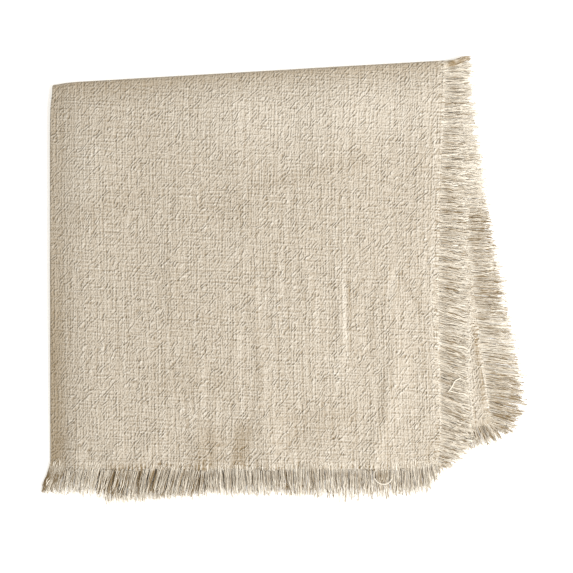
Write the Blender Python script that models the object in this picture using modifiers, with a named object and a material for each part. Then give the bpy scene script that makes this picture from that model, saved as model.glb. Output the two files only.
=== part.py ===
"""A fringed linen napkin, folded into quarters and laid flat. Metres, +Z up, the table at z = 0.

The napkin is one piece of cloth that is folded twice. The first fold is down its middle and turns the
under half beneath the face half. The second fold turns the upper end of that pair beneath the lower end,
along a line that is a few degrees off square, so the two layers at the back fan out past the two in front.
The threads that were left bare along the four sides make the fringe.

Everything is drawn flat first, as a pattern, and then laid through the two folds:
  u   across the pattern, 0 on the left fold, positive on the face half and negative on the under half
  v   up the pattern, 0 on the front hem and CLOTH_LENGTH on the back hem
Seen from above, the layers from the top down are face, under, back under and back face.
"""

import math
import random
from typing import NamedTuple

import bmesh
import bpy
from mathutils import Vector

# The cloth
CLOTH_THICK = 0.0010
LAYER_GAP = 0.0005
CLOTH_HALF_WIDTH = 0.2155
CLOTH_LENGTH = 0.4265

# The left fold, where the face half turns into the under half
HALF_PITCH = (CLOTH_THICK + LAYER_GAP) / 2
LEFT_PUFF = 0.0004
LEFT_PUFF_REACH = 0.012
LEFT_PUFF_FADE = 0.020

# The top fold, which runs uphill to the right
TOP_FOLD_AT_LEFT = 0.2071
TOP_FOLD_AT_RIGHT = 0.2197
TOP_PUFF = 0.00075
TOP_PUFF_REACH = 0.018
TOP_BEND_DEPTH = HALF_PITCH + CLOTH_THICK / 2 + LAYER_GAP / 2 + TOP_PUFF
TOP_BEND_HEIGHT = CLOTH_THICK / 2 + HALF_PITCH + TOP_BEND_DEPTH
BACK_TURN = 0.014

# How the front pair sinks to the table where the back pair no longer holds it up
PAIR_TOP = 2 * CLOTH_THICK + LAYER_GAP
SINK_AFTER_FOLD = 0.013
SINK_AFTER_FRINGE = 0.007
SINK_WIDTH = 0.020
FRINGE_SETTLE = 0.20

# The outline of the front pair
SIDE_BOW = 0.0030
HEM_FLARE = 0.28
HEM_FLARE_START = 0.004
HEM_FLARE_REACH = 0.010
CORNER_DRAW_IN = 0.0009
CORNER_REACH = 0.007

# The fringe
FRINGE_LENGTH = 0.0140
FRINGE_THICK = 0.0008
PART_GAP = 0.00045
BACKING_WIDTH = 0.0016
LOCK_PITCH = 0.0068
LOCK_ROOT = 0.0041
LOCK_MIDDLE = 0.0032
LOCK_TIP = 0.0012
LOCK_KNEE = 0.50
CREST_LOCK = 0.0020
CORNER_MARGIN = 0.0006

# The grid of the cloth: cells across each half, in front of the top fold, behind it, and round each fold
HALF_CELLS = 18
FRONT_CELLS = 20
BACK_CELLS = 7
LEFT_BEND_CELLS = 4
TOP_BEND_CELLS = 6
CELL_EASE = 1.25

FOLD_SLOPE = math.atan2(TOP_FOLD_AT_RIGHT - TOP_FOLD_AT_LEFT, CLOTH_HALF_WIDTH)
FOLD_START = Vector((0.0, TOP_FOLD_AT_LEFT))
FOLD_ALONG = Vector((math.cos(FOLD_SLOPE), math.sin(FOLD_SLOPE)))
FOLD_ACROSS = Vector((-math.sin(FOLD_SLOPE), math.cos(FOLD_SLOPE)))


class Ripple(NamedTuple):
    """A soft ridge in the face layer: its middle, how far it reaches each way, its lean and its height."""

    x: float
    y: float
    half_width: float
    half_length: float
    lean: float
    height: float


class Reach(NamedTuple):
    """The fringe at one place along a side: its length, and how far its tips lean along the side."""

    at: float
    length: float
    lean: float


RIPPLES = (
    Ripple(x=0.121, y=0.026, half_width=0.012, half_length=0.040, lean=0.00, height=0.0007),
    Ripple(x=0.157, y=0.060, half_width=0.012, half_length=0.050, lean=0.05, height=0.0006),
    Ripple(x=0.189, y=0.062, half_width=0.013, half_length=0.060, lean=0.10, height=0.0008),
    Ripple(x=0.060, y=0.045, half_width=0.014, half_length=0.045, lean=-0.05, height=0.0005),
    Ripple(x=0.135, y=0.172, half_width=0.020, half_length=0.030, lean=0.30, height=0.0005),
)

# at is measured along the side: up the pattern from the front hem, or from the outer end of the under half
SIDE_OUTER_REACH = (
    Reach(at=0.000, length=0.0130, lean=-0.0070),
    Reach(at=0.030, length=0.0145, lean=-0.0050),
    Reach(at=0.090, length=0.0145, lean=-0.0040),
    Reach(at=0.130, length=0.0135, lean=-0.0010),
    Reach(at=0.220, length=0.0130, lean=0.0005),
    Reach(at=0.270, length=0.0120, lean=0.0015),
    Reach(at=0.330, length=0.0135, lean=0.0020),
    Reach(at=0.380, length=0.0175, lean=0.0040),
    Reach(at=0.422, length=0.0180, lean=0.0070),
)
SIDE_INNER_REACH = (
    Reach(at=0.000, length=0.0130, lean=-0.0055),
    Reach(at=0.090, length=0.0135, lean=-0.0030),
    Reach(at=0.220, length=0.0125, lean=0.0005),
    Reach(at=0.270, length=0.0125, lean=0.0015),
    Reach(at=0.330, length=0.0140, lean=0.0020),
    Reach(at=0.380, length=0.0170, lean=0.0045),
    Reach(at=0.422, length=0.0175, lean=0.0075),
)
HEM_FRONT_REACH = (
    Reach(at=0.000, length=0.0120, lean=-0.0020),
    Reach(at=0.080, length=0.0140, lean=-0.0010),
    Reach(at=0.170, length=0.0150, lean=0.0020),
    Reach(at=0.215, length=0.0125, lean=0.0000),
    Reach(at=0.245, length=0.0135, lean=-0.0020),
    Reach(at=0.280, length=0.0140, lean=0.0000),
    Reach(at=0.330, length=0.0125, lean=0.0005),
    Reach(at=0.380, length=0.0150, lean=-0.0005),
    Reach(at=0.431, length=0.0120, lean=0.0020),
)
HEM_BACK_REACH = (
    Reach(at=0.000, length=0.0095, lean=-0.0030),
    Reach(at=0.060, length=0.0125, lean=0.0010),
    Reach(at=0.150, length=0.0175, lean=0.0025),
    Reach(at=0.200, length=0.0165, lean=0.0020),
    Reach(at=0.215, length=0.0140, lean=0.0010),
    Reach(at=0.280, length=0.0170, lean=-0.0020),
    Reach(at=0.370, length=0.0125, lean=-0.0010),
    Reach(at=0.431, length=0.0095, lean=0.0030),
)


def ease(share):
    """0 up to 0, 1 from 1 on, and a smooth step between."""
    share = min(1.0, max(0.0, share))
    return share * share * (3 - 2 * share)


def bell(distance, reach):
    """1 at no distance, and next to nothing at twice the reach."""
    return math.exp(-((distance / reach) ** 2))


def left_puff(v):
    """How far the left fold stands open at this height of the pattern: shut where the top fold crosses it."""
    middle = TOP_FOLD_AT_LEFT + math.pi * TOP_BEND_DEPTH / 2
    return LEFT_PUFF * (1 - bell(v - middle, LEFT_PUFF_FADE))


def fold_left(u, v):
    """The first fold: (distance from the fold, height above the middle of the pair)."""
    half = HALF_PITCH + left_puff(v)
    turn = u / half
    if abs(turn) < math.pi / 2:
        return -half * math.cos(turn), half * math.sin(turn)
    x = abs(u) - half * math.pi / 2
    return x, math.copysign(HALF_PITCH + left_puff(v) * bell(x, LEFT_PUFF_REACH), u)


def top_fold_v(x):
    """The height in the pattern at which the top fold starts."""
    return TOP_FOLD_AT_LEFT + x * math.tan(FOLD_SLOPE)


def top_bend_v(height):
    """How much of the pattern's height goes round the top fold, for a layer at this height in the pair."""
    return math.pi * (TOP_BEND_DEPTH + height) / math.cos(FOLD_SLOPE)


def back_stretch(x, radius):
    """How much a layer of the back pair gives: its two hems end together, and its hem turns with its side."""
    whole = (Vector((x, CLOTH_LENGTH)) - FOLD_START).dot(FOLD_ACROSS)
    return (whole - math.pi * TOP_BEND_DEPTH - BACK_TURN * x) / (whole - math.pi * radius)


def past_end(distance, fringe):
    """How much of its height the back pair keeps, this far outside its cloth."""
    thinned = 1 - FRINGE_SETTLE * ease(distance / fringe)
    return thinned * (1 - ease((distance - fringe - SINK_AFTER_FRINGE) / SINK_WIDTH))


def under_front(x, y):
    """The height of what lies under the front pair: a gap below the table's where the pair lies on the table."""
    offset = Vector((x, y)) - FOLD_START
    depth = max(0.0, -offset.dot(FOLD_ACROSS))
    along = offset.dot(FOLD_ALONG) - BACK_TURN * depth
    in_pair = FOLD_START + along * FOLD_ALONG + (depth + math.pi * TOP_BEND_DEPTH) * FOLD_ACROSS
    left = ease((in_pair.x + SINK_AFTER_FOLD + SINK_WIDTH) / SINK_WIDTH)
    right = past_end(in_pair.x - CLOTH_HALF_WIDTH, FRINGE_LENGTH)
    hem = past_end(in_pair.y - CLOTH_LENGTH, FRINGE_LENGTH)
    puff = 2 * left_puff(in_pair.y) * bell(in_pair.x, LEFT_PUFF_REACH)
    return (PAIR_TOP + LAYER_GAP + puff) * left * right * hem - LAYER_GAP


def ripple_height(x, y):
    """How far the ripples lift the face layer."""
    total = 0.0
    for ripple in RIPPLES:
        up = y - ripple.y
        across = x - ripple.x - ripple.lean * up
        total += ripple.height * bell(across, ripple.half_width) * bell(up, ripple.half_length)
    return total


def shape_outline(x, y, front, below_flare):
    """Draws the outline in at the top left corner, and shapes the front pair's side and its hem at the fold."""
    corner = CORNER_DRAW_IN * bell(math.hypot(x, y - TOP_FOLD_AT_LEFT), CORNER_REACH)
    bow = SIDE_BOW * (x / CLOTH_HALF_WIDTH) ** 2 * math.sin(math.pi * y / TOP_FOLD_AT_LEFT)
    flare = HEM_FLARE * below_flare * math.exp(-abs(x) / HEM_FLARE_REACH)
    return x + corner - front * (bow + flare), y - corner


def lay(u, v):
    """Where a point of the flat pattern lies in the folded napkin. It is the middle of the cloth's thickness."""
    x, height = fold_left(u, v)
    puff = abs(height) - HALF_PITCH if x > 0 else left_puff(v)
    radius = TOP_BEND_DEPTH + height
    offset = Vector((x, v)) - FOLD_START
    along = offset.dot(FOLD_ALONG)
    past = offset.dot(FOLD_ACROSS)
    if past <= 0:
        across, z, front = past, radius, 1.0
    elif past < math.pi * radius:
        turn = past / radius
        across, z, front = radius * math.sin(turn), radius * math.cos(turn), (1 + math.cos(turn)) / 2
    else:
        depth = (past - math.pi * radius) * back_stretch(x, radius)
        along += BACK_TURN * depth
        across, z, front = -depth, -radius, 0.0
    place = FOLD_START + along * FOLD_ALONG + across * FOLD_ACROSS

    # The front pair rests on the back pair or on the table, and only the face layer is rippled.
    flattened = 2 * TOP_PUFF * (1 - bell(min(past, 0.0), TOP_PUFF_REACH))
    face_share = min(1.0, max(0.0, (height + HALF_PITCH) / (2 * HALF_PITCH)))
    lift = under_front(place.x, place.y) - PAIR_TOP - flattened
    lift += face_share * ripple_height(place.x, place.y)

    # Beyond the cloth's edges the layers of fringe lie closer together.
    beyond = max(abs(u) - CLOTH_HALF_WIDTH, -v, v - CLOTH_LENGTH, 0.0)
    settled = FRINGE_SETTLE * ease(beyond / FRINGE_LENGTH)
    front_level = HALF_PITCH + height
    back_level = HALF_PITCH - height
    z += front * (lift - settled * front_level) - (1 - front) * settled * back_level

    x, y = shape_outline(place.x, place.y, front, max(HEM_FLARE_START - v, 0.0))
    return Vector((x, y, TOP_BEND_HEIGHT + z + puff))


def linen(name, colour):
    """A matt, undyed yarn."""
    material = bpy.data.materials.new(name)
    material.use_nodes = True
    shader = material.node_tree.nodes["Principled BSDF"]
    shader.inputs["Base Color"].default_value = (*colour, 1.0)
    shader.inputs["Roughness"].default_value = 0.9
    shader.inputs["Metallic"].default_value = 0.0
    return material


def add_part(name, bm, thickness, material, collection, anchor):
    """Makes an object of a laid surface and gives it its thickness, half on each side."""
    mesh = bpy.data.meshes.new(name)
    bm.to_mesh(mesh)
    bm.free()
    mesh.shade_smooth()
    mesh.materials.append(material)
    part = bpy.data.objects.new(name, mesh)
    collection.objects.link(part)
    part.parent = anchor
    thicken = part.modifiers.new("thickness", "SOLIDIFY")
    thicken.thickness = thickness
    thicken.offset = 0.0
    thicken.use_even_offset = True


def across_columns():
    """The pattern's columns, from the outer end of the under half to that of the face half."""
    bend = math.pi * HALF_PITCH / 2
    flat = [bend + (CLOTH_HALF_WIDTH - bend) * (i / HALF_CELLS) ** CELL_EASE for i in range(HALF_CELLS + 1)]
    round_fold = [-bend + 2 * bend * i / LEFT_BEND_CELLS for i in range(1, LEFT_BEND_CELLS)]
    return [-u for u in reversed(flat)] + round_fold + flat


def row_v(row, u):
    """A row's height in the pattern, in this column. The rows in the top fold run along with it."""
    x, height = fold_left(u, TOP_FOLD_AT_LEFT)
    start = top_fold_v(x)
    end = start + top_bend_v(height)
    if row <= FRONT_CELLS:
        return start * row / FRONT_CELLS
    if row <= FRONT_CELLS + TOP_BEND_CELLS:
        return start + (end - start) * (row - FRONT_CELLS) / TOP_BEND_CELLS
    return end + (CLOTH_LENGTH - end) * (row - FRONT_CELLS - TOP_BEND_CELLS) / BACK_CELLS


def add_cloth(material, collection, anchor):
    """The whole cloth: a grid of the flat pattern, laid through both folds."""
    columns = across_columns()
    across = len(columns) - 1
    up = FRONT_CELLS + TOP_BEND_CELLS + BACK_CELLS
    bm = bmesh.new()
    bmesh.ops.create_grid(bm, x_segments=across, y_segments=up, size=1.0)
    for vertex in bm.verts:
        u = columns[round((vertex.co.x + 1) / 2 * across)]
        v = row_v(round((vertex.co.y + 1) / 2 * up), u)
        vertex.co = lay(u, v)
    add_part("cloth", bm, CLOTH_THICK, material, collection, anchor)


def reach_at(table, along):
    """A table of reaches, read at one place along the side."""
    for low, high in zip(table, table[1:]):
        if along <= high.at:
            share = max(0.0, along - low.at) / (high.at - low.at)
            length = low.length + (high.length - low.length) * share
            return length, low.lean + (high.lean - low.lean) * share
    return table[-1].length, table[-1].lean


def lock_spans(length, bend):
    """Where the locks' roots start and end along a side, with room kept clear round its fold."""
    spans = []
    for start, end in ((CORNER_MARGIN, bend[0]), (bend[1], length - CORNER_MARGIN)):
        count = int((end - start) / LOCK_PITCH)
        pitch = (end - start) / count
        spans += [(start + pitch * (i + 0.5) - LOCK_ROOT / 2, start + pitch * (i + 0.5) + LOCK_ROOT / 2)
                  for i in range(count)]
    return spans


def bend_spans(bend, tuft):
    """The fold itself: a lock on its crest where one fits there, and steps of the backing round it."""
    start, end = bend
    if not tuft:
        return [], [start + (end - start) * i / LEFT_BEND_CELLS for i in range(LEFT_BEND_CELLS + 1)]
    low = (start + end - tuft) / 2
    high = (start + end + tuft) / 2
    return [(low, high)], [start, (start + low) / 2, low, high, (high + end) / 2, end]


def add_fringe(name, to_pattern, length, bend, tuft, table, seed, material, collection, anchor):
    """A side's fringe: a narrow backing just off the cloth's edge, and locks that grow out of it.

    It is drawn flat, with x along the side and y outwards, then put in the pattern and laid.
    """
    rng = random.Random(seed)
    crest, steps = bend_spans(bend, tuft)
    spans = sorted(lock_spans(length, bend) + crest)
    stations = sorted({CORNER_MARGIN, length - CORNER_MARGIN, *steps, *[at for span in spans for at in span]})
    cells = len(stations) - 1
    backing_out = PART_GAP + BACKING_WIDTH

    bm = bmesh.new()
    bmesh.ops.create_grid(bm, x_segments=cells, y_segments=1, size=1.0)
    for vertex in bm.verts:
        outer = vertex.co.y > 0
        along = stations[round((vertex.co.x + 1) / 2 * cells)]
        vertex.co = Vector((along, backing_out if outer else PART_GAP, 0.0))

    roots = {}
    for edge in bm.edges:
        if all(abs(vertex.co.y - backing_out) < PART_GAP / 2 for vertex in edge.verts):
            roots[min(vertex.co.x for vertex in edge.verts)] = edge
    for start, end in spans:
        middle = (start + end) / 2
        reach, lean = reach_at(table, middle)
        reach *= rng.uniform(0.90, 1.06)
        lean += rng.uniform(-0.0008, 0.0008)
        edge = roots[min(roots, key=lambda at: abs(at - start))]
        for share, width in ((LOCK_KNEE, LOCK_MIDDLE), (1.0, LOCK_TIP)):
            grown = bmesh.ops.extrude_edge_only(bm, edges=[edge])["geom"]
            edge = next(part for part in grown if isinstance(part, bmesh.types.BMEdge))
            low, high = sorted(edge.verts, key=lambda vertex: vertex.co.x)
            out = backing_out + (reach - backing_out) * share
            centre = middle + lean * share ** 1.5
            width = min(width, end - start)
            low.co = Vector((centre - width / 2, out, 0.0))
            high.co = Vector((centre + width / 2, out, 0.0))

    drop = (CLOTH_THICK - FRINGE_THICK) / 2
    for vertex in bm.verts:
        u, v = to_pattern(vertex.co.x, vertex.co.y)
        vertex.co = lay(u, v) - Vector((0.0, 0.0, drop))
    add_part(name, bm, FRINGE_THICK, material, collection, anchor)


def side_bend(height):
    """Where along a side the top fold starts and ends, for a layer at this height in the pair."""
    start = top_fold_v(CLOTH_HALF_WIDTH)
    return start, start + top_bend_v(height)


def add_fringes(material, collection, anchor):
    """The four sides of the napkin, each in one piece that goes round the fold that crosses it."""
    half_width = CLOTH_HALF_WIDTH
    hem_bend = (half_width - math.pi * HALF_PITCH / 2, half_width + math.pi * HALF_PITCH / 2)
    wide = 2 * half_width
    sides = (
        ("fringe_side_outer", lambda along, out: (half_width + out, along),
         CLOTH_LENGTH, side_bend(HALF_PITCH), CREST_LOCK, SIDE_OUTER_REACH),
        ("fringe_side_inner", lambda along, out: (-half_width - out, along),
         CLOTH_LENGTH, side_bend(-HALF_PITCH), 0.0, SIDE_INNER_REACH),
        ("fringe_hem_front", lambda along, out: (along - half_width, -out),
         wide, hem_bend, 0.0, HEM_FRONT_REACH),
        ("fringe_hem_back", lambda along, out: (along - half_width, CLOTH_LENGTH + out),
         wide, hem_bend, 0.0, HEM_BACK_REACH),
    )
    for seed, (name, to_pattern, length, bend, tuft, table) in enumerate(sides):
        add_fringe(name, to_pattern, length, bend, tuft, table, seed, material, collection, anchor)


def centre_on_origin(collection, anchor):
    """Moves the napkin so that the origin is at the middle of its footprint, on the table."""
    bpy.context.view_layer.update()
    graph = bpy.context.evaluated_depsgraph_get()
    corners = []
    for part in collection.objects:
        if part.type == "MESH":
            laid = part.evaluated_get(graph)
            corners += [laid.matrix_world @ Vector(corner) for corner in laid.bound_box]
    for axis in (0, 1):
        places = [corner[axis] for corner in corners]
        anchor.location[axis] = -(min(places) + max(places)) / 2


def main():
    for old in list(bpy.data.objects):
        bpy.data.objects.remove(old, do_unlink=True)
    collection = bpy.data.collections.new("folded_napkin")
    bpy.context.scene.collection.children.link(collection)
    anchor = bpy.data.objects.new("napkin_origin", None)
    collection.objects.link(anchor)
    add_cloth(linen("linen_cloth", (0.60, 0.52, 0.41)), collection, anchor)
    add_fringes(linen("linen_yarn", (0.68, 0.61, 0.50)), collection, anchor)
    centre_on_origin(collection, anchor)


main()
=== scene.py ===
# %% [markdown]
# # A fringed linen napkin, folded into quarters
#
# The real object is one panel of undyed, washed linen. Its edges aren't hemmed: the outermost threads were
# pulled out and the ends of the others left as a fringe. It is folded in half to the left, then the upper
# end of that pair is turned underneath, so four layers lie on each other and the two at the back fan out to
# the right. This lesson dresses the plain solids of that napkin: the cloth gets its creases and its weave,
# and each side gets its loose yarns.

# %% Load the fixed frame
import math
from typing import NamedTuple

import bmesh
import bpy
import numpy as np
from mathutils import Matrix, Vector, noise


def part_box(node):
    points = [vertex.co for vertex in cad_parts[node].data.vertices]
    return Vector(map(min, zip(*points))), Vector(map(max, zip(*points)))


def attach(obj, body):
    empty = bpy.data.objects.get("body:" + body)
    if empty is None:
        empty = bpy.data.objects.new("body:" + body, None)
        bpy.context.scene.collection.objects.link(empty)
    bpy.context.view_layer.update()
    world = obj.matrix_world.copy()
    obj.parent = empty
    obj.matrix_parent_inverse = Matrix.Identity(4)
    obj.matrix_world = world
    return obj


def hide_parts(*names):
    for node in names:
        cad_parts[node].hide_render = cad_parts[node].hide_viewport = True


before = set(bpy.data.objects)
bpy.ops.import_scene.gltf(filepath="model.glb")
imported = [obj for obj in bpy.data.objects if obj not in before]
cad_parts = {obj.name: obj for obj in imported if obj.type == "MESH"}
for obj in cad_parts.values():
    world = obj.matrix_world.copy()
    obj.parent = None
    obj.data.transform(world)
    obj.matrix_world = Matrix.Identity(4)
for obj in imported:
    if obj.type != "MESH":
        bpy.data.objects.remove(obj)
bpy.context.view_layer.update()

print("solids to dress:", ", ".join(sorted(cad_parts)))

# %% [markdown]
# ## The cloth's sizes
#
# A folded cloth is easiest to think about flat. Every point of it has a place on the flat panel: u runs
# across from the left fold, to the right on the face half and to the left on the half beneath, and v runs up
# from the front hem. The sizes below are those of the solids, so that whatever is laid through the folds
# lands where they are. Only the cloth is thinner here, because a real one is about half a millimetre thick.

# %% Sizes of the panel and of its two folds
MILLIMETRE = 0.001
SOLID_THICK = 0.0010
SHEET_THICK = 0.0006
LAYER_GAP = 0.0005
HALF_WIDTH = 0.2155
LENGTH = 0.4265

HALF_PITCH = (SOLID_THICK + LAYER_GAP) / 2
LEFT_PUFF = 0.0004
LEFT_PUFF_REACH = 0.012
LEFT_PUFF_FADE = 0.020

TOP_FOLD_AT_LEFT = 0.2071
TOP_FOLD_AT_RIGHT = 0.2197
TOP_PUFF = 0.00075
TOP_PUFF_REACH = 0.018
TOP_BEND_DEPTH = HALF_PITCH + SOLID_THICK / 2 + LAYER_GAP / 2 + TOP_PUFF
TOP_BEND_HEIGHT = SOLID_THICK / 2 + HALF_PITCH + TOP_BEND_DEPTH
BACK_TURN = 0.014

PAIR_TOP = 2 * SOLID_THICK + LAYER_GAP
SINK_AFTER_FOLD = 0.013
SINK_AFTER_FRINGE = 0.007
SINK_WIDTH = 0.020

SIDE_BOW = 0.0030
HEM_FLARE = 0.28
HEM_FLARE_START = 0.004
HEM_FLARE_REACH = 0.010
CORNER_DRAW_IN = 0.0009
CORNER_REACH = 0.007
HEM_CORNER_IN = 0.0032
HEM_CORNER_UP = 0.0026
HEM_CORNER_REACH = 0.015

FRINGE_LENGTH = 0.0140
FRINGE_SETTLE = 0.20

FOLD_SLOPE = math.atan2(TOP_FOLD_AT_RIGHT - TOP_FOLD_AT_LEFT, HALF_WIDTH)
COS = math.cos(FOLD_SLOPE)
SIN = math.sin(FOLD_SLOPE)
print(f"panel {2 * HALF_WIDTH / MILLIMETRE:.0f} x {LENGTH / MILLIMETRE:.0f} mm,",
      f"top fold {math.degrees(FOLD_SLOPE):.1f} degrees")

# %% [markdown]
# ## Laying a point through the folds
#
# Cloth simulation could fold the panel, but it would never land on the solids. The fold is two half turns,
# so it can be written down: the first turn wraps u round the left fold, and the second wraps what is above
# the slanted top fold underneath. All of this is done for whole arrays of points at once, because the cloth
# and its fringe need tens of thousands of them.

# %% The first fold
def ease(share):
    share = np.clip(share, 0.0, 1.0)
    return share * share * (3 - 2 * share)


def bell(distance, reach):
    return np.exp(-((distance / reach) ** 2))


def left_puff(v):
    """How far the left fold stands open. It is shut where the top fold crosses it."""
    return LEFT_PUFF * (1 - bell(v - TOP_FOLD_AT_LEFT - math.pi * TOP_BEND_DEPTH / 2, LEFT_PUFF_FADE))


def fold_left(u, v):
    """Distance from the left fold, and height above the middle of the pair."""
    half = HALF_PITCH + left_puff(v)
    turn = u / half
    flat_x = np.abs(u) - half * math.pi / 2
    flat_height = np.sign(u) * (HALF_PITCH + left_puff(v) * bell(flat_x, LEFT_PUFF_REACH))
    round_it = np.abs(turn) < math.pi / 2
    x = np.where(round_it, -half * np.cos(turn), flat_x)
    return x, np.where(round_it, half * np.sin(turn), flat_height)


print("the left fold stands open by", round(2 * float(left_puff(0.0)) / MILLIMETRE, 2), "mm at the hem")


# %% What the front pair lies on
def past_end(distance):
    thinned = 1 - FRINGE_SETTLE * ease(distance / FRINGE_LENGTH)
    return thinned * (1 - ease((distance - FRINGE_LENGTH - SINK_AFTER_FRINGE) / SINK_WIDTH))


def under_front(x, y):
    """The height of the back pair's top, and a gap below the table where there is only the table."""
    along = x * COS + (y - TOP_FOLD_AT_LEFT) * SIN
    depth = np.maximum(0.0, x * SIN - (y - TOP_FOLD_AT_LEFT) * COS)
    along = along - BACK_TURN * depth
    unrolled = depth + math.pi * TOP_BEND_DEPTH
    pair_x = along * COS - unrolled * SIN
    pair_y = TOP_FOLD_AT_LEFT + along * SIN + unrolled * COS
    left = ease((pair_x + SINK_AFTER_FOLD + SINK_WIDTH) / SINK_WIDTH)
    held = left * past_end(pair_x - HALF_WIDTH) * past_end(pair_y - LENGTH)
    puff = 2 * left_puff(pair_y) * bell(pair_x, LEFT_PUFF_REACH)
    return (PAIR_TOP + LAYER_GAP + puff) * held - LAYER_GAP


print("the front pair lies", round(float(under_front(0.1, 0.1)) / MILLIMETRE, 2), "mm up in the middle")

# %% [markdown]
# ## Creases left from washing and folding, and patches partly faded and partly painted light and shade
#
# Washed linen never lies quite flat, and its colour is never quite even. The soft ridges and troughs that
# show in the face were placed one by one: a row is a stretch from one end to the other, with its half width
# and its height, below zero for a trough. A second list is for the strip of the back layer that shows at the
# right, which has a sharper wrinkle along it. The last two lists are of lighter and darker patches, in the
# face and in the strip.

# %% Creases and patches
class Stroke(NamedTuple):
    """From one end to the other, in millimetres from the left fold and from the front hem, with its half
    width and its height in millimetres, or its lightness in a list of patches."""

    x0: float
    y0: float
    x1: float
    y1: float
    half_width: float
    amount: float


def strokes(*rows):
    return [Stroke(*row) for row in rows]


FACE_CREASES = strokes(
    (155.5, 114.0, 158.0, 97.5, 2.6, 0.45),
    (158.0, 97.5, 159.0, 73.5, 2.6, 0.62),
    (159.0, 73.5, 157.5, 56.5, 2.6, 0.5),
    (135.0, 128.5, 142.5, 92.5, 3.0, 0.45),
    (142.5, 92.5, 142.5, 75.0, 2.4, 0.4),
    (185.5, 108.5, 181.5, 96.5, 2.2, 0.6),
    (189.5, 107.5, 200.0, 88.0, 1.8, -0.45),
    (186.5, 92.5, 188.0, 59.5, 5.5, 0.7),
    (188.0, 59.5, 182.5, 31.0, 5.5, 1.3),
    (182.5, 31.0, 173.5, 1.5, 5.5, 1.4),
    (81.0, 62.5, 81.0, 31.5, 2.6, 0.45),
    (88.5, 39.0, 88.5, 10.0, 2.4, 0.4),
    (110.0, 92.5, 113.5, 68.0, 3.2, 0.5),
    (113.5, 68.0, 115.5, 44.5, 3.2, 0.6),
    (115.5, 44.5, 112.5, 26.0, 3.4, 0.7),
    (116.5, 26.0, 118.0, 1.0, 6.5, 1.4),
    (123.0, 109.5, 123.0, 73.5, 2.4, 0.4),
    (100.0, 76.0, 101.0, 38.0, 2.8, 0.4),
    (78.5, 17.5, 81.0, -2.5, 3.6, 0.8),
    (65.5, 116.5, 67.0, 81.5, 4.0, 0.6),
    (74.0, 61.0, 79.5, 40.5, 4.0, 0.4),
    (57.5, 20.0, 45.0, 1.5, 4.5, 1.0),
    (12.5, 19.0, 12.5, 1.0, 4.5, 0.9),
    (36.0, 12.0, 32.5, -1.0, 4.5, 0.8),
    (198.5, 59.5, 200.0, 30.0, 3.0, -0.5),
    (172.0, 88.5, 173.0, 59.5, 3.0, -0.5),
    (180.0, 50.0, 179.0, 27.0, 2.4, -0.45),
    (132.5, 31.0, 136.0, 11.0, 7.5, -0.7),
    (155.5, 214.5, 151.0, 174.0, 17, 1.3),
    (199.0, 206.5, 202.0, 174.0, 9, 0.9),
    (95.5, 198.0, 100.0, 163.0, 14, 1.0),
    (26.0, 179.0, 22.0, 144.0, 14, 0.9),
    (205.5, 152.0, 202.0, 119.5, 11, 0.6),
    (53.5, 146.5, 48.0, 114.0, 13, -0.6),
    (88.0, 163.0, 92.5, 127.5, 12, -0.6),
)
BACK_STRIP_CREASES = strokes(
    (225.5, 79.5, 230.5, 71.5, 1.6, 0.6),
    (230.5, 71.5, 229.5, 66.0, 1.6, 0.7),
    (229.5, 66.0, 232.5, 59.0, 1.6, 0.6),
    (232.5, 59.0, 234.5, 35.0, 1.8, 0.5),
)
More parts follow.
